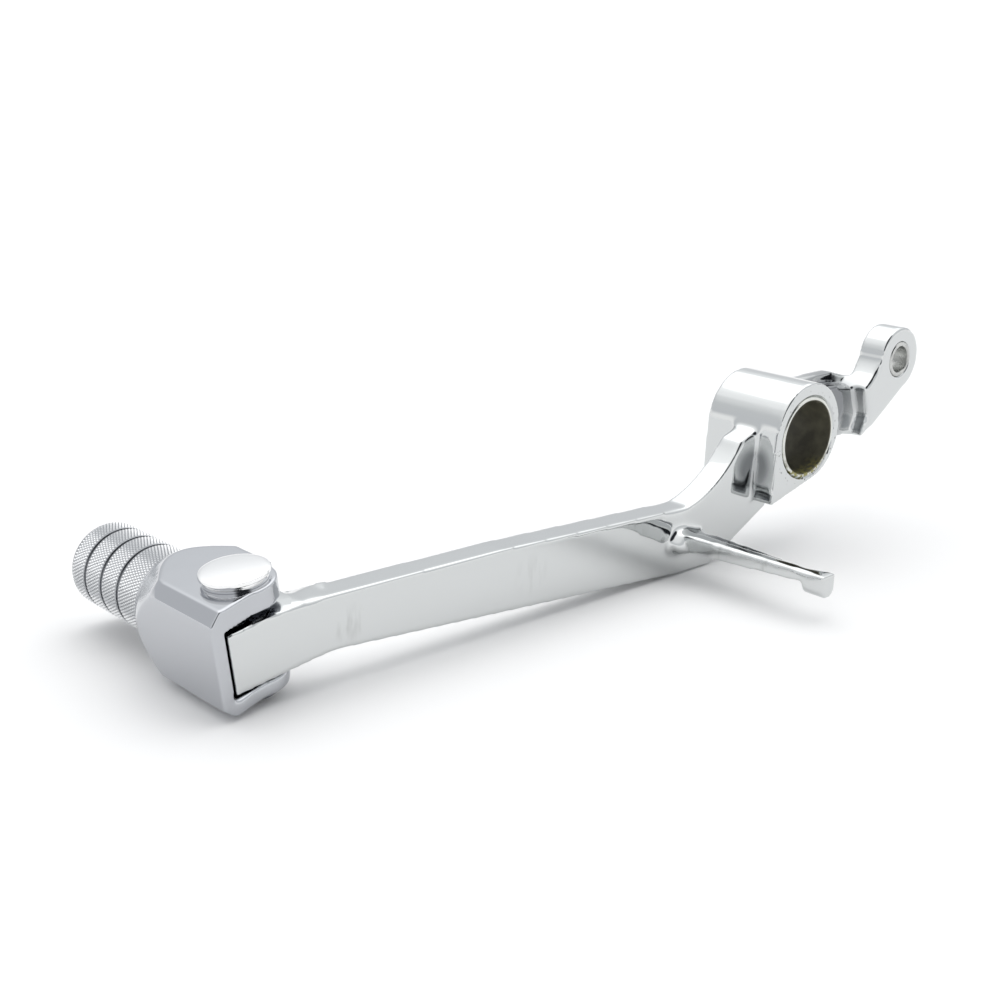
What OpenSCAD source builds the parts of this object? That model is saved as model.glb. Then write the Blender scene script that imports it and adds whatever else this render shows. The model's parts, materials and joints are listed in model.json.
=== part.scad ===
// Folding-toe gear shift lever for a motorcycle. The lever lies on its side: X runs from the pivot
// to the toe, Y runs inboard towards the engine, Z is up. The origin is on the pivot bore's axis,
// on the inboard face of the pivot boss.

/* [Pivot boss] */
// Inside diameter of the pivot bush
pivot_d = 20; // [16:0.5:20]
// Wall of the pivot bush
pivot_wall = 1; // [0.8:0.1:1]
// Outside diameter of the boss
boss_d = 27.2; // [27:0.1:27.8]
// Length of the boss along the pivot
boss_len = 24; // [23.5:0.5:26]

/* [Arm] */
// Distance along X from the pivot to the hinge of the toe piece
toe_x = 169; // [160:1:175]
// Drop of the peg's axis below the pivot
toe_drop = 18; // [17:0.5:19]
// Lean of the toe's hinge towards +X, in degrees
toe_lean = 8.4; // [8:0.1:9]
// Thickness of the arm
arm_t = 7.4; // [6.5:0.1:7.6]
// Depth of the arm's inboard face behind the boss face
arm_set = 7; // [6.8:0.1:7.4]
// Depth of the belly below the pivot
belly_drop = 31.4; // [31:0.1:32]

/* [Link arm] */
// Distance along X from the pivot to the link eye
eye_back = 46.6; // [44:0.2:50]
// Height of the link eye above the pivot
eye_rise = 15; // [14:0.5:17]
// Inside diameter of the eye bush
eye_d = 7.5; // [6:0.25:8]
// Outside radius of the link eye
eye_r = 9.2; // [8.8:0.1:9.6]
// Thickness of the link plate
plate_t = 8; // [7.6:0.1:8.4]

/* [Tang] */
// Length of the tang from the arm's face to its end
tang_len = 44; // [40:1:46]

/* [Toe block] */
// Height of the clevis slot
slot_h = 15.6; // [15.6:0.1:15.8]
// Radius of the round rim where the peg seats
rim_r = 11.2; // [11:0.1:11.6]
// Distance from the hinge to the peg's seat
seat_out = 24.5; // [24:0.5:26]

/* [Peg] */
// Diameter of the foot peg
peg_d = 20; // [18:0.5:21]
// Length of the foot peg outside the block
peg_len = 30.5; // [28:0.5:34]

/* [Hidden] */
$fn = 64;
eps = 0.02;
big = 60;

// Arm: its two faces across Y, and the hinge point's place across Y
arm_in = -arm_set;
arm_out = arm_in - arm_t;
toe_y = -16;
// Arm's side outline
neck_x = 155;
neck_top = -10.6;
mid_x = 105;
mid_top = -11.2;
heel_x = 29.5;
belly_x = 40;
heel_c = [46.5, 17.5];
heel_r = 32;
// Boss: its outline is round above and has a squared heel below
boss_r = boss_d / 2;
boss_c = [-0.3, 1.2];
heel_corner = [14, -16.7];
bush_r = pivot_d / 2 + pivot_wall;
// Link arm: the neck and the plate across Y
neck_in = -8;
neck_mid = -12;
neck_out = -16;
plate_in = -3.4;
plate_out = plate_in - plate_t;
plate_arc_c = [23.2, 7.3];
plate_arc_r = 15.5;
eye_bush_r = 5;
eye = [-eye_back, eye_rise];

// Tang: its top, thickness and knob
tang_top = -20;
tang_t = 4;
knob_len = 6;

// Hinge parts, about the hinge's own axis
pin_r = 4;
knuckle_bush_r = 5;
knuckle_gap = 0.05;
knuckle_r = 9;
shim_t = 0.4;
knuckle_h = slot_h - 2 * shim_t;
nose_top = 6.2;
flank_top = 5;
shim_r = 5.3;
recess_r = 7.4;
recess_h = 6.4;
// Toe block, about the hinge and the peg's axis
block_top = 12.5;
block_low = -11.5;
block_front = 13;
block_rear = 9.6;
ear_r = 8.4;
ear_in = 10.2;
wall_in = 10;
chamfer = 2.6;
rear_cut = 4.5;
pocket_r = 9.9;
pocket_relief = 18;
// Pin
head_r = 7.4;
head_t = 1.8;
head_dome = 0.5;
washer_t = 0.5;
clip_t = 0.8;
groove_r = 3;
pin_end = -13.3;
// Spring in the knuckle's recess
wire_r = 0.7;
coil_r = 6.3;
coil_turns = 3;
coil_pitch = 1.6;
coil_sides = 8;
coil_steps = 20;
leg_len = 2.2;
// Peg and its bolt
peg_end = seat_out + peg_len;
groove_w = 0.9;
groove_deep = 0.8;
groove_from_end = [6.4, 13.4, 20.4];
peg_bevel = 0.6;
bolt_r = 3;
bolt_clear_r = 3.3;
bolt_tip = 13;
bolt_head_r = 5;
bolt_head_h = 6;
bolt_sink = 1;
lock_t = 1.6;
lock_r = 5.4;
bolt_pocket_r = 5.8;
hex_af = 5;
head_seat = peg_end - bolt_sink - bolt_head_h;
lock_seat = head_seat - lock_t;

// Points of an arc in degrees, counted from the X axis
function arc(c, r, a0, a1, n = 12) =
    [for (i = [0:n]) let (a = a0 + (a1 - a0) * i / n) c + r * [cos(a), sin(a)]];

// Extrudes an XZ outline across Y from y0 to y1
module across(y0, y1) {
    translate([0, y1, 0]) rotate([90, 0, 0]) linear_extrude(y1 - y0) children();
}

// A cylinder along Y between y0 and y1, about the point p of the XZ plane
module rod_y(p, r, y0, y1) {
    translate([p[0], y1, p[1]]) rotate([90, 0, 0]) cylinder(h = y1 - y0, r = r);
}

// The toe's own frame: its origin is where the hinge axis meets the peg's axis
module at_toe() {
    translate([toe_x, toe_y, -toe_drop]) rotate([0, toe_lean, 0]) children();
}

// Ring about Z from z0 to z1
module ring(r_in, r_out, z0, z1) {
    translate([0, 0, z0]) difference() {
        cylinder(h = z1 - z0, r = r_out);
        translate([0, 0, -1]) cylinder(h = z1 - z0 + 2, r = r_in);
    }
}

module boss_shape() {
    rod_y(boss_c, boss_r, -boss_len, 0);
    across(-boss_len, 0)
        polygon([[0, 0], boss_c + [boss_r, 0], heel_corner, [-3, -12.2]]);
}

module arm_shape() {
    across(arm_out, arm_in)
        polygon(concat(
            [[toe_x - 9, neck_top], [neck_x, neck_top], [mid_x, mid_top]],
            arc(heel_c, heel_r, 258, 212),
            [[10, 4], [0, 0], [7, -19.5], [heel_x, -belly_drop], [belly_x, -belly_drop],
             [neck_x - 3, -23.2], [toe_x - 9, -24]]));
}

// End of the arm that carries the hinge: a disc and the square nose beside it
module knuckle_shape() {
    half = knuckle_h / 2;
    // Disc, stepped in above the arm's top
    translate([0, 0, -half]) cylinder(h = half + nose_top, r = knuckle_r);
    cylinder(h = half, r = knuckle_r - 0.9);
    near = arm_in - toe_y;
    far = arm_out - toe_y;
    translate([0, 0, -half]) linear_extrude(half + nose_top)
        polygon([[knuckle_r, 0], [knuckle_r, near], [-10, near], [-10, -2.2], [0, -5]]);
    translate([0, 0, -half]) linear_extrude(half + flank_top)
        polygon([[-9, near], [-14, near], [-20, far], [-13, -0.2], [-9, -2.6]]);
}

module link_arm_shape() {
    across(neck_mid, neck_in)
        polygon([[0, 10.5], [-21, 9.6], [-36, 8], [-34, -6.4], [-22, -5], [0, -6]]);
    across(neck_out, neck_mid)
        polygon([[0, 12.4], [-26, 12.4], [-38, 9.2], [-36, -6], [-22, -5], [0, -6]]);
    across(plate_out, plate_in)
        polygon(concat(arc(eye + plate_arc_c, plate_arc_r, 190, 242, 8),
                       [[-33.4, 0.6], [-31.2, -6.4], [-43, 1.6],
                        eye + eye_r * [cos(222), sin(222)], eye]));
    rod_y(eye, eye_r, plate_out, plate_in);
}

// Side of the tang, with its top at z_root by the arm and z_knob by the knob; its underside rises
module tang_side(z_root, z_knob) {
    y_far = arm_in + tang_len - knob_len + 1;
    translate([30, 0, 0]) rotate([90, 0, 90]) linear_extrude(20)
        polygon([[arm_in, tang_top - tang_t], [y_far, tang_top - 2.5], [y_far, z_knob],
                 [arm_in, z_root]]);
}

// Tang: a tapered web with a higher rib along its toe side, and an upright knob at its end
module tang_shape() {
    y_end = arm_in + tang_len;
    y_knob = y_end - knob_len;
    low = tang_top - tang_t;
    intersection() {
        translate([0, 0, low]) linear_extrude(tang_t)
            polygon([[45, arm_in], [42.2, y_knob + 1], [37.4, y_knob + 1], [34.2, arm_in]]);
        tang_side(tang_top - 0.7, tang_top - 0.4);
    }
    // Rib, nearly level
    intersection() {
        translate([0, 0, low]) linear_extrude(tang_t + 1)
            polygon([[45, arm_in], [42.2, y_knob + 1], [38.6, y_knob + 1], [40.6, arm_in]]);
        tang_side(tang_top + 0.8, tang_top + 0.4);
    }
    across(y_knob, y_end)
        polygon(concat([[37, tang_top + 0.4], [42.2, tang_top + 0.4]],
                       arc([39.6, tang_top - 2.9], 2.6, 0, -180, 8)));
}

module lever_body() {
    half = knuckle_h / 2;
    color("silver") difference() {
        union() {
            boss_shape();
            arm_shape();
            at_toe() knuckle_shape();
            link_arm_shape();
            tang_shape();
        }
        rod_y([0, 0], bush_r, -boss_len - 1, 1);
        rod_y(eye, eye_bush_r, plate_out - 1, plate_in + 1);
        at_toe() {
            translate([0, 0, -big / 2]) cylinder(h = big, r = knuckle_bush_r);
            translate([0, 0, -half - 1]) cylinder(h = recess_h + 1, r = recess_r);
            translate([-coil_r, 0, -half + recess_h - 1]) cylinder(h = leg_len + 1, r = wire_r + 0.1);
        }
    }
}

module pivot_bush() {
    color("dimgray") rotate([90, 0, 0]) ring(pivot_d / 2, bush_r, 0, boss_len);
}

module link_eye_bush() {
    color("gainsboro") translate([eye[0], 0, eye[1]]) rotate([90, 0, 0])
        ring(eye_d / 2, eye_bush_r, -plate_in, -plate_out);
}

module knuckle_bush() {
    half = knuckle_h / 2;
    color("goldenrod") at_toe() ring(pin_r + knuckle_gap, knuckle_bush_r, -half, half);
}

// Plan of the block, seen along the hinge
module block_plan() {
    polygon([[block_front, -seat_out], [block_front, ear_in], [9, ear_in - 0.3],
             [2, ear_r - 0.2], [0, 0], [-block_rear, -1], [-block_rear, -seat_out]]);
    circle(r = ear_r);
}

// Section of the block, seen along the peg
module block_section() {
    polygon([[-block_rear, block_low + rear_cut], [-block_rear + rear_cut, block_low],
             [block_front - chamfer, block_low],
             [block_front, block_low + chamfer], [block_front, block_top - chamfer],
             [block_front - chamfer, block_top], [-block_rear, block_top]]);
}

module toe_block() {
    color("lightsteelblue") at_toe() difference() {
        intersection() {
            translate([0, 0, block_low]) linear_extrude(block_top - block_low) block_plan();
            across(-seat_out, ear_in + 1) block_section();
            rotate([-90, 0, 0]) rotate_extrude()
                polygon([[0, -seat_out], [rim_r, -seat_out], [12.6, -seat_out + 3],
                         [16, -seat_out + 11.5], [19, ear_in + 1], [0, ear_in + 1]]);
        }
        translate([0, 0, -slot_h / 2]) linear_extrude(slot_h) {
            circle(r = pocket_r);
            translate([-big, 0]) square([big + wall_in, big]);
            rotate(pocket_relief) translate([-big, -pocket_r]) square([big, 2 * pocket_r]);
        }
        translate([0, 0, block_low - 1]) cylinder(h = block_top - block_low + 2, r = pin_r);
        rod_y([0, 0], bolt_r, -seat_out - 1, -bolt_tip + 0.5);
        translate([coil_r, 0, -slot_h / 2 - leg_len]) cylinder(h = leg_len + 1, r = wire_r + 0.1);
    }
}

module hinge_pin() {
    groove_top = block_low - washer_t;
    color("white") at_toe() rotate_extrude()
        polygon([[0, pin_end], [pin_r - 0.5, pin_end], [pin_r, pin_end + 0.4],
                 [pin_r, groove_top - clip_t], [groove_r, groove_top - clip_t],
                 [groove_r, groove_top], [pin_r, groove_top], [pin_r, block_top],
                 [head_r, block_top], [head_r, block_top + head_t],
                 [head_r * 0.6, block_top + head_t + head_dome * 0.7],
                 [0, block_top + head_t + head_dome]]);
}

module shim_upper() {
    color("gray") at_toe() ring(pin_r + knuckle_gap, shim_r, knuckle_h / 2, slot_h / 2);
}

module shim_lower() {
    color("gray") at_toe() ring(pin_r + knuckle_gap, shim_r, -slot_h / 2, -knuckle_h / 2);
}

// Path of the spring's wire: a leg up into the knuckle, the coil, a leg down into the block
function coil_point(a, z) = [-coil_r * cos(a), -coil_r * sin(a), z + a / 360 * coil_pitch];

module fold_spring() {
    base = -slot_h / 2 + wire_r + 0.2;
    turns_deg = 360 * coil_turns - 180;
    n = coil_steps * coil_turns;
    path = [for (i = [0:n]) coil_point(180 + turns_deg * i / n, base - coil_pitch / 2)];
    leg_low = [path[0] - [0, 0, leg_len], path[0] - [0, 0, wire_r]];
    leg_high = [path[n] + [0, 0, wire_r], path[n] + [0, 0, leg_len]];
    line = concat([leg_low[0]], path, [leg_high[1]]);
    count = len(line);
    points = [for (i = [0:count - 1]) let (
                  p = line[max(i - 1, 0)], q = line[min(i + 1, count - 1)],
                  d = (q - p) / norm(q - p),
                  out = [line[i][0], line[i][1], 0] / coil_r,
                  side = cross(d, out) / max(norm(cross(d, out)), 0.001),
                  lift = cross(side, d))
              each [for (k = [0:coil_sides - 1]) let (a = 360 * k / coil_sides)
                    line[i] + wire_r * (cos(a) * lift + sin(a) * side)]];
    walls = [for (i = [0:count - 2], k = [0:coil_sides - 1]) let (m = (k + 1) % coil_sides)
             each [[i * coil_sides + k, i * coil_sides + m, (i + 1) * coil_sides + m],
                   [i * coil_sides + k, (i + 1) * coil_sides + m, (i + 1) * coil_sides + k]]];
    first = [for (k = [0:coil_sides - 1]) coil_sides - 1 - k];
    last = [for (k = [0:coil_sides - 1]) (count - 1) * coil_sides + k];
    color("slategray") at_toe() polyhedron(points, concat(walls, [first, last]));
}

module hinge_washer() {
    color("gray") at_toe() ring(pin_r, 6, block_low - washer_t, block_low);
}

module hinge_clip() {
    groove_top = block_low - washer_t;
    color("dimgray") at_toe() difference() {
        ring(groove_r, 5.8, groove_top - clip_t, groove_top);
        translate([0, -1.9, groove_top - clip_t - 1]) cube([big, 3.8, clip_t + 2]);
    }
}

module toe_peg() {
    r = peg_d / 2;
    color("lightgray") at_toe() rotate([90, 0, 0]) difference() {
        rotate_extrude()
            polygon([[0, seat_out], [r, seat_out], [r, peg_end - peg_bevel],
                     [r - peg_bevel, peg_end], [0, peg_end]]);
        for (g = groove_from_end)
            ring(r - groove_deep, r + 1, peg_end - g - groove_w / 2, peg_end - g + groove_w / 2);
        translate([0, 0, seat_out - 1]) cylinder(h = peg_len + 2, r = bolt_clear_r);
        translate([0, 0, lock_seat]) cylinder(h = peg_len, r = bolt_pocket_r);
    }
}

module peg_lock_washer() {
    color("gray") at_toe() rotate([90, 0, 0]) difference() {
        ring(bolt_r, lock_r, lock_seat, head_seat);
        translate([0, -0.4, lock_seat - 1]) cube([big, 0.8, lock_t + 2]);
    }
}

module peg_bolt() {
    color("darkgray") at_toe() rotate([90, 0, 0]) difference() {
        union() {
            translate([0, 0, bolt_tip]) cylinder(h = head_seat - bolt_tip + eps, r = bolt_r);
            translate([0, 0, head_seat]) cylinder(h = bolt_head_h, r = bolt_head_r);
        }
        translate([0, 0, head_seat + 3])
            cylinder(h = bolt_head_h, r = hex_af / 2 / cos(30), $fn = 6);
    }
}

lever_body();
pivot_bush();
link_eye_bush();
knuckle_bush();
toe_block();
hinge_pin();
shim_upper();
shim_lower();
fold_spring();
hinge_washer();
hinge_clip();
toe_peg();
peg_lock_washer();
peg_bolt();
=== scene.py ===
"""Chromed gear shift lever with a folding toe peg, lying on its side on a white sweep.

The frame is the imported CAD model, in metres: X runs from the pivot to the toe, Y inboard along the
pivot bore, Z up. Sizes below are in millimetres and turned to metres by MM.
"""

import json
from math import atan2, cos, pi, radians, sin

import bmesh
import bpy
from mathutils import Matrix, Vector


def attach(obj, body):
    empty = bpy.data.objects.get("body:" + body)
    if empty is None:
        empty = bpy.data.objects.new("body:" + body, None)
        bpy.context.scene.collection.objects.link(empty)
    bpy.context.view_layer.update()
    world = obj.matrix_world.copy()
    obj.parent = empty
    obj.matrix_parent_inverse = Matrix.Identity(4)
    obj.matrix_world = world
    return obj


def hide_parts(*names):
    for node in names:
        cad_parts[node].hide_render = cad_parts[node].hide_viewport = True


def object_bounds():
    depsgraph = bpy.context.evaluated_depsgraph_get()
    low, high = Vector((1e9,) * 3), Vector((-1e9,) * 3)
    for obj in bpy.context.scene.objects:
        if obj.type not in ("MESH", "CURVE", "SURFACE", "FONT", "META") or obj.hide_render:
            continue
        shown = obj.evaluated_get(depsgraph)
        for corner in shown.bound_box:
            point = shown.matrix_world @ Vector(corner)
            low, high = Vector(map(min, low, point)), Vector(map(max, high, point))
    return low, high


MM = 0.001

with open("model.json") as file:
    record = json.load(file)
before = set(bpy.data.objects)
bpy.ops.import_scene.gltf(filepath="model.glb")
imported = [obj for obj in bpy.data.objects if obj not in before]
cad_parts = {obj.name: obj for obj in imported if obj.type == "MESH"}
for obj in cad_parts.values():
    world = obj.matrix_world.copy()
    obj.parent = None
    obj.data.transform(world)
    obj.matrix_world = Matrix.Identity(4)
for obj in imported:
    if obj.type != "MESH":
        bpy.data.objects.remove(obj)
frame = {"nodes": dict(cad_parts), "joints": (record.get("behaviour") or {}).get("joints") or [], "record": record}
cad_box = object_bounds()
nodes = frame["nodes"]

# ---------------------------------------------------------------- places taken from the frame

hinge = frame["joints"][0]
hinge_up = -Vector(hinge["axis"]).normalized()
toe_forward = Vector((hinge_up.z, 0, -hinge_up.x))
# Turns toe coordinates (X to the front of the block, Y inboard, Z along the hinge) into the frame
toe_frame = (
    Matrix.Translation(Vector(hinge["pos_m"]))
    @ Matrix(
        (
            (toe_forward.x, 0, hinge_up.x),
            (0, 1, 0),
            (toe_forward.z, 0, hinge_up.z),
        )
    ).to_4x4()
)
mounts = {m["name"]: m for m in frame["record"]["mounts"]}
floor_z = cad_box[0].z

# Where the light comes from, and where the tent is open
softbox_direction = Vector((-0.25, -0.3, 1))
opening_direction = Vector((0.22, 0.66, 0.62))


# ---------------------------------------------------------------- camera, floor and lights


def make_camera():
    """A 54 mm lens just above the bench, inboard of the lever and towards its toe."""
    azimuth, elevation, roll = radians(46.5), radians(17.33), radians(1.79)
    back = Vector(
        (
            cos(azimuth) * cos(elevation),
            sin(azimuth) * cos(elevation),
            sin(elevation),
        )
    )
    right = Vector((-sin(azimuth), cos(azimuth), 0))
    up = back.cross(right)
    data = bpy.data.cameras.new("bench_camera")
    data.lens, data.sensor_width = 54, 36
    data.clip_start, data.clip_end = 0.01, 20
    camera = bpy.data.objects.new("bench_camera", data)
    turn = Matrix(
        (
            right * cos(roll) + up * sin(roll),
            up * cos(roll) - right * sin(roll),
            back,
        )
    ).transposed()
    place = Vector((327.7, 226.1, 101.3)) * MM
    camera.matrix_world = Matrix.Translation(place) @ turn.to_4x4()
    bpy.context.scene.collection.objects.link(camera)
    bpy.context.scene.camera = camera


def linear(code):
    """An sRGB hex colour as the four linear numbers that a shader socket takes."""
    steps = [int(code[i : i + 2], 16) / 255 for i in (1, 3, 5)]
    return tuple(
        s / 12.92 if s <= 0.04045 else ((s + 0.055) / 1.055) ** 2.4 for s in steps
    ) + (1.0,)


def add_node(tree, kind, settings=None, **inputs):
    """Adds one node; inputs are constants or the sockets that feed it."""
    node = tree.nodes.new(kind)
    for name, value in (settings or {}).items():
        setattr(node, name, value)
    for name, value in inputs.items():
        key = int(name[1:]) if name[0] == "_" else name.replace("_", " ")
        if isinstance(value, bpy.types.NodeSocket):
            tree.links.new(value, node.inputs[key])
        else:
            node.inputs[key].default_value = value
    return node


def start_material(name):
    material = bpy.data.materials.new(name)
    material.use_nodes = True
    material.node_tree.nodes.clear()
    return material, material.node_tree


def finish_material(tree, **inputs):
    shader = add_node(tree, "ShaderNodeBsdfPrincipled", **inputs)
    add_node(tree, "ShaderNodeOutputMaterial", Surface=shader.outputs[0])


def times(tree, one, other):
    return add_node(
        tree, "ShaderNodeMath", {"operation": "MULTIPLY"}, _0=one, _1=other
    ).outputs[0]


def blend_colour(tree, share, first, second):
    return add_node(
        tree, "ShaderNodeMix", {"data_type": "RGBA"}, _0=share, _6=first, _7=second
    ).outputs[2]


def spread(tree, value, low, high, to_low=0.0, to_high=1.0, curve="LINEAR"):
    """Maps a value's range low to high onto another range, held at both ends."""
    return add_node(
        tree, "ShaderNodeMapRange", {"interpolation_type": curve}, Value=value,
        From_Min=low, From_Max=high, To_Min=to_low, To_Max=to_high,
    ).outputs[0]  # fmt: skip


def noise(tree, where, size, detail):
    """Cloudy noise with patches some size mm across."""
    return add_node(
        tree, "ShaderNodeTexNoise", Vector=where, Scale=1 / (size * MM), Detail=detail
    ).outputs[0]


def distance_from_axis(tree, one, other):
    """How far a point lies from an axis, from its two coordinates across that axis."""
    across = add_node(tree, "ShaderNodeCombineXYZ", X=one, Y=other).outputs[0]
    return add_node(
        tree, "ShaderNodeVectorMath", {"operation": "LENGTH"}, _0=across
    ).outputs["Value"]


def facing(tree, where, direction):
    """1 in a direction of the sky, 0 at right angles to it and -1 opposite."""
    return add_node(
        tree, "ShaderNodeVectorMath", {"operation": "DOT_PRODUCT"},
        _0=where, _1=direction.normalized(),
    ).outputs["Value"]  # fmt: skip


def make_floor():
    """White sweep: matt white card under the lever."""
    bpy.ops.mesh.primitive_plane_add(size=8, location=(0, 0, floor_z))
    card = bpy.context.object
    card.name = "white_sweep"
    material, tree = start_material("matt white card")
    finish_material(tree, Base_Color=linear("#fafafa"), Roughness=0.9)
    card.data.materials.append(material)


def make_world():
    """White tent: bright low down and overhead, greyer between, dark behind the camera."""
    world = bpy.data.worlds.new("white_tent")
    world.use_nodes = True
    tree = world.node_tree
    tree.nodes.clear()
    where = add_node(tree, "ShaderNodeTexCoord").outputs["Generated"]
    height = add_node(tree, "ShaderNodeSeparateXYZ", Vector=where).outputs["Z"]
    ramp = add_node(tree, "ShaderNodeValToRGB", Fac=height)
    stops = (
        (0.0, "#ffffff"), (0.1, "#ffffff"), (0.2, "#d3d5d8"),
        (0.42, "#d6d8da"), (0.66, "#f6f7f8"), (1.0, "#fbfbfb"),
    )  # fmt: skip
    while len(ramp.color_ramp.elements) < len(stops):
        ramp.color_ramp.elements.new(0.5)
    for element, (place, code) in zip(ramp.color_ramp.elements, stops):
        element.position, element.color = place, linear(code)
    # The room that shows through the tent's opening, above and behind the camera
    opening = facing(tree, where, opening_direction)
    shade = spread(tree, opening, 0.84, 0.93, curve="SMOOTHSTEP")
    tone = blend_colour(tree, shade, ramp.outputs["Color"], linear("#2a2c30"))
    # The softbox over the tent, with soft borders
    overhead = facing(tree, where, softbox_direction)
    strength = spread(tree, overhead, 0.5, 1.0, 1.16, 1.65, "SMOOTHSTEP")
    glow = add_node(tree, "ShaderNodeBackground", Color=tone, Strength=strength)
    add_node(tree, "ShaderNodeOutputWorld", Surface=glow.outputs[0])
    bpy.context.scene.world = world


def make_overhead_light():
    """A very wide soft source overhead, a little behind the lever."""
    data = bpy.data.lights.new("overhead_softbox", "SUN")
    data.energy, data.angle = 0.3, radians(70)
    lamp = bpy.data.objects.new("overhead_softbox", data)
    lamp.rotation_euler = softbox_direction.to_track_quat("Z", "Y").to_euler()
    bpy.context.scene.collection.objects.link(lamp)


make_camera()
make_floor()
make_world()
make_overhead_light()
bpy.context.scene.view_settings.view_transform = "Standard"


# ---------------------------------------------------------------- finishes


def speckle(tree, where, spacing, share, softness):
    """Spots about spacing mm apart; share is how much of each cell a spot may fill."""
    cells = add_node(
        tree, "ShaderNodeTexVoronoi", Vector=where, Scale=1 / (spacing * MM)
    )
    chance = add_node(
        tree, "ShaderNodeSeparateColor", Color=cells.outputs["Color"]
    ).outputs[0]
    reach = add_node(
        tree, "ShaderNodeMath", {"operation": "MULTIPLY"}, _0=chance, _1=share
    ).outputs[0]
    inside = add_node(
        tree, "ShaderNodeMath", {"operation": "SUBTRACT"},
        _0=reach, _1=cells.outputs["Distance"],
    ).outputs[0]  # fmt: skip
    return add_node(
        tree, "ShaderNodeMapRange", Value=inside, From_Min=0.0, From_Max=softness
    ).outputs[0]


def near_point(tree, where, centre, inner, outer):
    """1 within inner mm of a point and 0 beyond outer mm, with a soft border."""
    gap = add_node(
        tree, "ShaderNodeVectorMath", {"operation": "DISTANCE"},
        _0=where, _1=Vector(centre) * MM,
    ).outputs["Value"]  # fmt: skip
    return spread(tree, gap, outer * MM, inner * MM)


def decorative_chrome(name, tone, waviness, pits_near=None, painted_shade_spots=(), scuffs=()):
    """Decorative chrome over polished zinc or steel: a mirror with a faint orange peel, hazed here
    and there by handling, and pitted where it was chipped. Grey spots at given places are painted shade."""
    material, tree = start_material(name)
    where = add_node(tree, "ShaderNodeTexCoord").outputs["Object"]
    # Polishing leaves waves some 8 mm long
    waves = noise(tree, where, 8, 1.0)
    haze = noise(tree, where, 14, 4.0)
    height = times(tree, waves, waviness)
    colour = linear(tone)
    # Painted shade: the tone greys towards #55585e around each given spot
    for centre, inner, outer, share in painted_shade_spots:
        painted_shade_share = times(tree, near_point(tree, where, centre, inner, outer), share)
        colour = blend_colour(tree, painted_shade_share, colour, linear("#55585e"))
    # Scuffs: soft streaks of dull grey, longer than they are wide, left by boots
    along = add_node(
        tree, "ShaderNodeMapping", Vector=where, Scale=(1.0, 1.0, 0.25)
    ).outputs[0]
    streaks = spread(tree, noise(tree, along, 2.2, 2.0), 0.45, 0.75)
    rough = spread(tree, haze, 0.45, 0.75, 0.045, 0.13)
    for centre, inner, outer, share in scuffs:
        mark = times(
            tree,
            times(tree, near_point(tree, where, centre, inner, outer), streaks),
            share,
        )
        colour = blend_colour(tree, mark, colour, linear("#4b4a48"))
    if pits_near:
        # Pits 0.2 to 0.5 mm across
        pits = times(tree, speckle(tree, where, 0.9, 0.4, 0.08), pits_near(tree, where))
        height = add_node(
            tree, "ShaderNodeMath", {"operation": "SUBTRACT"},
            _0=height, _1=times(tree, pits, 0.25),
        ).outputs[0]  # fmt: skip
        colour = blend_colour(tree, times(tree, pits, 0.8), colour, linear("#3c3b37"))
    bump = add_node(
        tree, "ShaderNodeBump", Height=height, Strength=1.0, Distance=0.1 * MM
    ).outputs[0]
    finish_material(
        tree, Base_Color=colour, Metallic=1.0, Roughness=rough, Normal=bump
    )
    return material


def rim_of_pivot(tree, where):
    """1 around the boss's mouth, where the plate is chipped by the stud's washer."""
    split = add_node(tree, "ShaderNodeSeparateXYZ", Vector=where)
    radius = distance_from_axis(tree, split.outputs["X"], split.outputs["Z"])
    worst_below = spread(tree, split.outputs["Z"], 4 * MM, -6 * MM, 0.3, 1.0)
    return times(
        tree,
        times(tree, spread(tree, radius, 14.5 * MM, 12.6 * MM), worst_below),
        spread(tree, split.outputs["Y"], -1.4 * MM, -0.5 * MM),
    )


# ---------------------------------------------------------------- modelling helpers


def hold(piece):
    """Makes one piece the only selected and the active object."""
    bpy.ops.object.select_all(action="DESELECT")
    piece.select_set(True)
    bpy.context.view_layer.objects.active = piece


def edit(piece, step):
    """Runs one step in edit mode with the whole piece selected."""
    hold(piece)
    bpy.ops.object.mode_set(mode="EDIT")
    bpy.ops.mesh.select_all(action="SELECT")
    step()
    bpy.ops.object.mode_set(mode="OBJECT")


def apply_modifier(piece, kind, **settings):
    hold(piece)
    modifier = piece.modifiers.new(kind.lower(), kind)
    for name, value in settings.items():
        setattr(modifier, name, value)
    bpy.ops.object.modifier_apply(modifier=modifier.name)


def copy_of_node(name, node):
    """A copy of a CAD node's mesh with its loose triangles merged."""
    piece = bpy.data.objects.new(name, nodes[node].data.copy())
    bpy.context.scene.collection.objects.link(piece)
    hold(piece)
    bpy.ops.mesh.customdata_custom_splitnormals_clear()
    edit(piece, lambda: bpy.ops.mesh.remove_doubles(threshold=0.001 * MM))
    return piece


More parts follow.
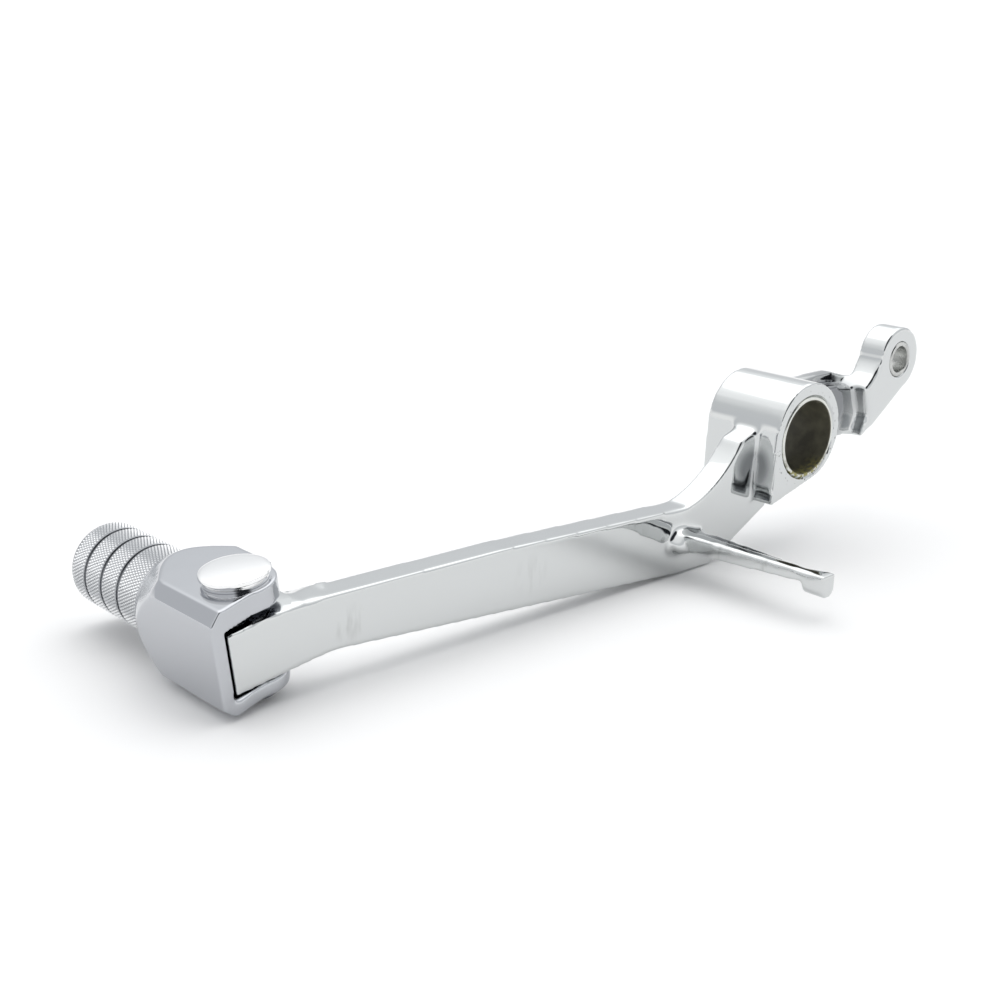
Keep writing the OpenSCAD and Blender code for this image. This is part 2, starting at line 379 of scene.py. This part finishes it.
def turned(name, profile, place, segments=96, tube=False):
    """Turns a profile of (radius, height) points in mm about place's Z axis.

    A tube's profile comes back to its start; a solid's two ends are closed with flat faces.
    """
    (radius, height), *rest = profile
    bpy.ops.object.select_all(action="DESELECT")
    bpy.ops.mesh.primitive_circle_add(
        vertices=segments,
        radius=radius * MM,
        fill_type="NOTHING" if tube else "NGON",
        location=(0, 0, 0),
    )
    piece = bpy.context.object
    piece.name = name

    def raise_rings():
        last_radius, last_height = radius, height
        if not tube:
            bpy.ops.mesh.select_all(action="SELECT")
        for next_radius, next_height in rest:
            if tube:
                bpy.ops.mesh.extrude_edges_move()
            else:
                bpy.ops.mesh.extrude_region_move()
            bpy.ops.transform.translate(
                value=(0, 0, (next_height - last_height) * MM)
            )
            ratio = next_radius / last_radius
            bpy.ops.transform.resize(
                value=(ratio, ratio, 1),
                center_override=(0, 0, (next_height - height) * MM),
            )
            last_radius, last_height = next_radius, next_height
        bpy.ops.mesh.select_all(action="SELECT")
        bpy.ops.mesh.remove_doubles(threshold=0.001 * MM)
        bpy.ops.mesh.normals_make_consistent(inside=False)

    edit(piece, raise_rings)
    piece.data.transform(place @ Matrix.Translation((0, 0, height * MM)))
    return piece


def ball_piece(name, centre, radii):
    """A stretched ball in mm, to be joined or cut."""
    bpy.ops.object.select_all(action="DESELECT")
    bpy.ops.mesh.primitive_uv_sphere_add(segments=48, ring_count=24, radius=1)
    piece = bpy.context.object
    piece.name = name
    stretch = Matrix.Diagonal((*(Vector(radii) * MM), 1))
    piece.data.transform(Matrix.Translation(Vector(centre) * MM) @ stretch)
    return piece


def join(piece, others):
    """Joins closed bodies into one piece; the remesh that follows melts them together."""
    hold(piece)
    for other in others:
        other.select_set(True)
    bpy.ops.object.join()


def cut(piece, cutter):
    apply_modifier(piece, "BOOLEAN", operation="DIFFERENCE", object=cutter)
    bpy.data.objects.remove(cutter)


def melt(piece, grain, rounds):
    """Remeshes a piece evenly and eases its edges, as casting and polishing do."""
    apply_modifier(piece, "REMESH", mode="VOXEL", voxel_size=grain * MM)
    apply_modifier(piece, "SMOOTH", factor=0.5, iterations=rounds)


def ease_near(piece, spots, rounds):
    """Eases corners into wide fillets: spots are (centre, radius) in mm, with soft borders."""
    group = piece.vertex_groups.new(name="fillets")
    for vertex in piece.data.vertices:
        weight = 0.0
        for centre, radius in spots:
            reach = (vertex.co - Vector(centre) * MM).length / (radius * MM)
            weight = max(weight, min(1.0, 2.0 * (1.0 - reach)))
        if weight > 0:
            group.add([vertex.index], weight, "REPLACE")
    apply_modifier(
        piece, "SMOOTH", factor=0.5, iterations=rounds, vertex_group="fillets"
    )
    piece.vertex_groups.remove(piece.vertex_groups["fillets"])


def finish_piece(piece, body, material, replaced, sharp=35):
    """Shading, finish, and the CAD body and node that the piece goes with."""
    piece.data.materials.clear()
    piece.data.materials.append(material)
    hold(piece)
    bpy.ops.object.shade_smooth_by_angle(angle=radians(sharp))
    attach(piece, body)
    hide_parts(replaced)


# Turns a mm shape so that its Z axis runs inboard along +Y
ALONG_Y = Matrix.Rotation(-pi / 2, 4, "X")
# The same in the toe's frame, but outboard, the way the peg points
ALONG_PEG = toe_frame @ Matrix.Rotation(pi / 2, 4, "X")


def toe_point(x, y, z):
    """A point of the toe's frame in mm as a point of the whole frame in mm."""
    return tuple(toe_frame @ (Vector((x, y, z)) * MM) / MM)


# ---------------------------------------------------------------- the finishes of this lever


def zinc_plated_steel(name, tone, rough):
    """Bright zinc plate on turned steel: a soft shine with fine turning marks."""
    material, tree = start_material(name)
    where = add_node(tree, "ShaderNodeTexCoord").outputs["Object"]
    grain = noise(tree, where, 0.5, 3.0)
    stain = noise(tree, where, 4, 3.0)
    bump = add_node(
        tree, "ShaderNodeBump", Height=grain, Strength=0.3, Distance=0.02 * MM
    ).outputs[0]
    dull = tuple(0.7 * part for part in linear(tone)[:3]) + (1.0,)
    finish_material(
        tree,
        Base_Color=blend_colour(
            tree, spread(tree, stain, 0.45, 0.7), linear(tone), dull
        ),
        Metallic=1.0,
        Roughness=spread(tree, stain, 0.4, 0.7, rough, rough + 0.15),
        Normal=bump,
    )
    return material


def greased_bush_lining():
    """Steel bush with a dark polymer lining: the ring's end is bare steel, the running face is
    brown-black, and old yellow grease sits at the bottom of the mouth."""
    material, tree = start_material("greased polymer bush lining")
    where = add_node(tree, "ShaderNodeTexCoord").outputs["Object"]
    split = add_node(tree, "ShaderNodeSeparateXYZ", Vector=where)
    radius = distance_from_axis(tree, split.outputs["X"], split.outputs["Z"])
    bare = spread(tree, radius, 10.15 * MM, 10.3 * MM)
    smear = noise(tree, where, 5, 4.0)
    lining = blend_colour(
        tree, spread(tree, smear, 0.35, 0.7), linear("#4a483d"), linear("#6d6a5a")
    )
    low_down = spread(tree, split.outputs["Z"], -6.5 * MM, -9.2 * MM)
    at_mouth = spread(tree, split.outputs["Y"], -5 * MM, -0.8 * MM)
    lumps = spread(tree, noise(tree, where, 1.2, 3.0), 0.42, 0.58)
    grease = times(tree, times(tree, low_down, at_mouth), lumps)
    low_ring = times(tree, lumps, spread(tree, split.outputs["Z"], -2 * MM, -9 * MM))
    dirty = blend_colour(tree, low_ring, linear("#d6d7d2"), linear("#7c7b66"))
    colour = blend_colour(tree, bare, lining, dirty)
    colour = blend_colour(tree, grease, colour, linear("#8f8a55"))
    finish_material(
        tree,
        Base_Color=colour,
        Metallic=spread(tree, bare, 0.4, 0.6, 0.25, 1.0),
        Roughness=spread(tree, bare, 0.4, 0.6, 0.42, 0.22),
    )
    return material


def knurled_chrome():
    """Chrome over a diamond knurl: light on the tips as painted highlight, grey in the valleys as painted shade,
    and smoother on the tips.
    """
    material, tree = start_material("chrome on diamond knurling")
    where = add_node(tree, "ShaderNodeTexCoord").outputs["Object"]
    axis_point = ALONG_PEG.inverted()
    turn = axis_point.to_euler()
    centred = add_node(
        tree,
        "ShaderNodeMapping",
        Vector=where,
        Location=axis_point.translation,
        Rotation=turn,
    ).outputs[0]
    split = add_node(tree, "ShaderNodeSeparateXYZ", Vector=centred)
    radius = distance_from_axis(tree, split.outputs["X"], split.outputs["Y"])
    # Painted highlight and shade: grey in the valleys, light on the tips; the tips are also smoother
    tip_light_and_wear = spread(tree, radius, 9.7 * MM, 9.92 * MM)
    finish_material(
        tree,
        Base_Color=blend_colour(tree, tip_light_and_wear, linear("#a4a6a9"), linear("#e8e9ea")),
        Metallic=1.0,
        Roughness=spread(tree, tip_light_and_wear, 0.0, 1.0, 0.3, 0.14),
    )
    return material


casting_chrome = decorative_chrome(
    "decorative chrome on a polished casting",
    "#cfd1d1",
    0.5,
    rim_of_pivot,
    # Painted shade: grey spots on the link arm's neck, where the arm leaves the boss, beside the knuckle and on
    # the tang
    painted_shade_spots=(
        ((-22, -12, 4), 6, 13, 0.75),
        ((14, -7, -8), 4, 7, 0.45),
        (toe_point(-2, 4.6, 7.4), 3.2, 4.7, 0.95),
        (toe_point(3, 4.6, 7.4), 3.2, 4.7, 0.95),
        ((35.5, 2, -21), 1.5, 5.5, 0.85),
        ((37, 13, -20.8), 1, 4.5, 0.8),
    ),
    scuffs=(
        ((149, -7, -18), 1, 5, 0.4),
        ((96, -7, -19), 1, 6, 0.2),
        ((44, 6, -21), 1, 5, 0.45),
        ((43.2, 20, -21), 1, 4, 0.45),
    ),
)
# Painted shade: the block's chrome is a darker copy of the casting's chrome
shaded_block_chrome = decorative_chrome(
    "darkened chrome on the block, painted shade", "#bcbec2", 0.22
)
# Painted highlight: the pin's chrome is a brighter copy of the casting's chrome
highlit_pin_chrome = decorative_chrome("brightened chrome on the hinge pin, painted highlight", "#f2f2f2", 0.3)
peg_chrome = knurled_chrome()
bush_lining = greased_bush_lining()
bright_zinc = zinc_plated_steel("bright zinc plate", "#c6c7c5", 0.2)
bolt_zinc = zinc_plated_steel("zinc plate on a socket screw", "#a9abae", 0.26)
oiled_spring_steel = zinc_plated_steel("oiled spring steel", "#6b6e73", 0.3)
sintered_bronze = zinc_plated_steel("oil-filled sintered bronze", "#b08a52", 0.38)


# ---------------------------------------------------------------- the casting


def make_casting():
    """The lever's body: remeshed from its CAD shape, with eased edges and wide fillets."""
    pivot_bore, pivot_depth = 11, -24
    eye_bore, eye_low, eye_high = 5, -11.4, -3.4
    # In the knuckle: the bush's bore, and the spring's recess below it
    bush_bore, recess, knuckle_half = 5, 7.4, 7.4
    # The bores are plugged for the remesh and cut again after it
    spare = 0.3
    eye = Vector(mounts["link_eye_bore"]["pos_m"]) / MM
    eye_place = Matrix.Translation(Vector((eye.x, 0, eye.z)) * MM) @ ALONG_Y
    casting = copy_of_node("polished_casting", "lever_body")
    plug = pivot_bore + spare
    pivot_plug = turned("pivot_plug", [(plug, pivot_depth), (plug, 0)], ALONG_Y)
    plug = eye_bore + spare
    eye_plug = turned("eye_plug", [(plug, eye_low), (plug, eye_high)], eye_place)
    plug = [(8.6, -knuckle_half), (8.6, knuckle_half)]
    hinge_plug = turned("hinge_plug", plug, toe_frame)
    tang_root = ball_piece("tang_root", (41.5, -6.6, -22.4), (5.6, 4.6, 3.0))
    join(casting, [pivot_plug, eye_plug, hinge_plug, tang_root])
    melt(casting, 0.42, 9)
    ease_near(
        casting,
        [
            # Where the arm and the link arm leave the boss
            ((15, -8, -10), 6),
            ((16, -10.7, 1.5), 8),
            ((12, -8, 5), 5),
            ((-13, -12, 8), 7),
            ((-13, -12, -4), 7),
            # The link arm
            ((-30, -8, 3), 9),
            ((-31, -8, 10), 7),
            ((-35.5, -3.4, 6), 3.5),
            ((-37, -3.4, 11), 3.5),
            ((-32, -4.5, -5.2), 4.5),
            ((-32, -9.5, -5.2), 4.5),
            # The tang: its root, and the top under the knob
            ((38, -5, -22), 5),
            ((44, -9, -19), 8),
            ((39.6, 31.5, -20), 4),
            # The neck beside the knuckle
            (toe_point(-10, 5, 6.5), 6),
        ],
        60,
    )
    rib = [((43.2 - 0.075 * y, y, -19.4), 4) for y in range(-3, 34, 2)]
    ease_near(casting, rib, 14)
    # Step below the block's upper ear
    inner, outer, low, high = 5.6, 10.5, 6.2, 9
    step = [(inner, low), (outer, low), (outer, high), (inner, high), (inner, low)]
    cut(casting, turned("step_cutter", step, toe_frame, tube=True))
    mouths = [(12, -26), (11.6, pivot_depth), (pivot_bore, -23.5), (pivot_bore, -0.5)]
    mouths += [(11.6, 0), (12, 2)]
    cut(casting, turned("pivot_cutter", mouths, ALONG_Y))
    mouths = [(6, -13), (5.4, eye_low), (eye_bore, -11), (eye_bore, -3.8)]
    mouths += [(5.4, eye_high), (6, -2)]
    cut(casting, turned("eye_cutter", mouths, eye_place))
    steps = [(recess, -9), (recess, -1), (bush_bore, -1), (bush_bore, 12)]
    cut(casting, turned("hinge_cutter", steps, toe_frame))
    finish_piece(
        casting, "lever", casting_chrome, "lever_body", sharp=50
    )


def make_bush(name, inner, outer, low, high, place, material, node):
    """A plain bush with a small chamfer at every edge."""
    ease = 0.18
    profile = [
        (inner, low + ease), (inner + ease, low), (outer - ease, low),
        (outer, low + ease), (outer, high - ease), (outer - ease, high),
        (inner + ease, high), (inner, high - ease), (inner, low + ease),
    ]  # fmt: skip
    bush = turned(name, profile, place, segments=128, tube=True)
    finish_piece(bush, "lever", material, node, sharp=20)


# ---------------------------------------------------------------- the toe block, pin and peg


def make_block():
    """The clevis block: remeshed from its CAD shape, with its lower inboard edge rounded."""
    block = copy_of_node("toe_clevis_block", "toe_block")
    block.data.transform(toe_frame.inverted())
    melt(block, 0.3, 5)
    lower_edge = -11.5
    rounded = [(9.5, 9.5, 6), (-5, 5, 8), (3, 9, 5)]
    ease_near(block, [((x, y, lower_edge), reach) for x, y, reach in rounded], 90)
    block.data.transform(toe_frame)
    finish_piece(
        block, "toe", shaded_block_chrome, "toe_block", sharp=60
    )


def make_pin():
    """Hinge pin with a low domed head and a groove for its clip."""
    profile = [
        (3.5, -13.3), (4, -12.9), (4, -12.8), (3, -12.8), (3, -12.0), (4, -12.0),
        (4, 12.5), (6.8, 12.5), (6.9, 12.6), (6.9, 13.0), (6.6, 13.1),
        (6.6, 13.6), (7.2, 13.75), (7.4, 13.95), (7.4, 14.45), (7.3, 14.7),
        (7.0, 14.83), (6.4, 14.9), (5.4, 14.96), (4, 15.02), (2.5, 15.07),
        (1, 15.09),
    ]  # fmt: skip
    pin = turned("domed_hinge_pin", profile, toe_frame, segments=128)
    finish_piece(pin, "toe", highlit_pin_chrome, "hinge_pin", sharp=30)


def make_peg():
    """Foot peg: four bands of diamond knurling between narrow grooves, bored for its bolt."""
    seat, end = 24.5, 55.0
    tip, valley, groove_floor = 10.0, 9.68, 9.35
    columns, row = 160, 0.7
    groove_half = 0.4
    screw_hole, counterbore, counterbore_floor = 3.3, 5.8, 46.4
    groove_centres = [end - 20.4, end - 13.4, end - 6.4]
    lows = [seat + 0.3] + [centre + groove_half for centre in groove_centres]
    highs = [centre - groove_half for centre in groove_centres] + [end - 0.6]
    profile = [(screw_hole, seat), (9.3, seat)]
    raised_rows = {}
    for low, high in zip(lows, highs):
        count = round((high - low) / row)
        rows = [low + (high - low) * k / count for k in range(count + 1)]
        for k in range(1, count):
            raised_rows[round(rows[k], 3)] = k
        profile += [(groove_floor, low)] if low != lows[0] else []
        profile += [(valley, height) for height in rows]
        profile += [(groove_floor, high)] if high != highs[-1] else []
    profile += [(9.5, end - 0.15), (9.2, end), (5.9, end), (counterbore, end - 0.1)]
    profile += [(counterbore, counterbore_floor), (screw_hole, counterbore_floor)]
    profile += [(screw_hole, seat)]
    peg = turned("knurled_foot_peg", profile, Matrix(), segments=columns, tube=True)

    def raise_tips():
        bpy.ops.mesh.select_mode(type="VERT")
        bpy.ops.mesh.select_all(action="DESELECT")
        mesh = bmesh.from_edit_mesh(peg.data)
        for vertex in mesh.verts:
            x, y, z = vertex.co / MM
            level = raised_rows.get(round(z, 3))
            if level is None or abs((x * x + y * y) ** 0.5 - valley) > 0.01:
                continue
            column = round(atan2(y, x) / (2 * pi / columns))
            vertex.select = (column + level) % 2 == 1
        mesh.select_flush_mode()
        bmesh.update_edit_mesh(peg.data)
        ratio = tip / valley
        bpy.ops.transform.resize(value=(ratio, ratio, 1), center_override=(0, 0, 0))
        bpy.ops.mesh.select_all(action="SELECT")
        bpy.ops.mesh.quads_convert_to_tris(quad_method="SHORTEST_DIAGONAL")

    edit(peg, raise_tips)
    peg.data.transform(ALONG_PEG)
    finish_piece(peg, "toe", peg_chrome, "toe_peg", sharp=12)


def make_bolt():
    """Socket head screw that holds the peg on the block."""
    profile = [
        (2.5, 13), (3, 13.5), (3, 48), (4.8, 48), (5, 48.2), (5, 53.5),
        (4.85, 53.85), (4.5, 54),
    ]  # fmt: skip
    bolt = turned("peg_socket_screw", profile, Matrix(), segments=96)
    bpy.ops.object.select_all(action="DESELECT")
    bpy.ops.mesh.primitive_cone_add(
        vertices=6, radius1=2.75 * MM, radius2=2.9 * MM, depth=4 * MM,
        location=(0, 0, 53 * MM),
    )  # fmt: skip
    socket = bpy.context.object
    cut(bolt, socket)
    bolt.data.transform(ALONG_PEG)
    finish_piece(bolt, "toe", bolt_zinc, "peg_bolt", sharp=30)


def make_spring():
    """Torsion spring in the knuckle: a coil with a leg at each end."""
    wire, coil, turns, rise = 0.7, 6.3, 2.5, 4.0
    low, sides = -6.9, 16
    bpy.ops.object.select_all(action="DESELECT")
    bpy.ops.mesh.primitive_circle_add(
        vertices=sides, radius=wire * MM, fill_type="NGON",
        location=(coil * MM, 0, low * MM), rotation=(pi / 2, 0, 0),
    )  # fmt: skip
    spring = bpy.context.object
    spring.name = "toe_return_spring"
    bpy.ops.object.transform_apply(location=True, rotation=True, scale=True)
    edit(spring, lambda: bpy.ops.mesh.delete(type="ONLY_FACE"))
    apply_modifier(
        spring, "SCREW", axis="Z", angle=turns * 2 * pi, screw_offset=rise * MM,
        steps=140, render_steps=140, use_smooth_shade=True,
    )  # fmt: skip

    def close_ends():
        bpy.ops.mesh.remove_doubles(threshold=0.001 * MM)
        bpy.ops.mesh.select_all(action="DESELECT")
        bpy.ops.mesh.select_non_manifold()
        bpy.ops.mesh.edge_face_add()
        bpy.ops.mesh.select_all(action="SELECT")
        bpy.ops.mesh.normals_make_consistent(inside=False)

    edit(spring, close_ends)
    leg_low = [(0.5, -9.1), (wire, -8.9), (wire, low)]
    leg_high = [(wire, low + rise), (wire, -0.9), (0.5, -0.7)]
    legs = [
        turned("leg_low", leg_low, Matrix.Translation((coil * MM, 0, 0)), sides),
        turned("leg_high", leg_high, Matrix.Translation((-coil * MM, 0, 0)), sides),
    ]
    join(spring, legs)
    spring.data.transform(toe_frame)
    finish_piece(
        spring, "lever", oiled_spring_steel, "fold_spring"
    )


def dress_nodes():
    """CAD nodes whose plain turned shape is right keep it, and take their real finish."""
    finishes = {
        "shim_upper": bright_zinc,
        "shim_lower": bright_zinc,
        "hinge_washer": bright_zinc,
        "hinge_clip": oiled_spring_steel,
        "peg_lock_washer": bright_zinc,
        "knuckle_bush": sintered_bronze,
    }
    for node, material in finishes.items():
        nodes[node].data.materials.clear()
        nodes[node].data.materials.append(material)


make_casting()
eye_centre = mounts["link_eye_bore"]["pos_m"]
make_bush(
    "pivot_lined_bush", 10, 11, -24, 0, ALONG_Y,
    bush_lining, "pivot_bush",
)  # fmt: skip
make_bush(
    "link_eye_sleeve", 3.75, 5, -11.4, -3.4,
    Matrix.Translation((eye_centre[0], 0, eye_centre[2])) @ ALONG_Y,
    bright_zinc, "link_eye_bush",
)  # fmt: skip
make_block()
make_pin()
make_peg()
make_bolt()
make_spring()
dress_nodes()
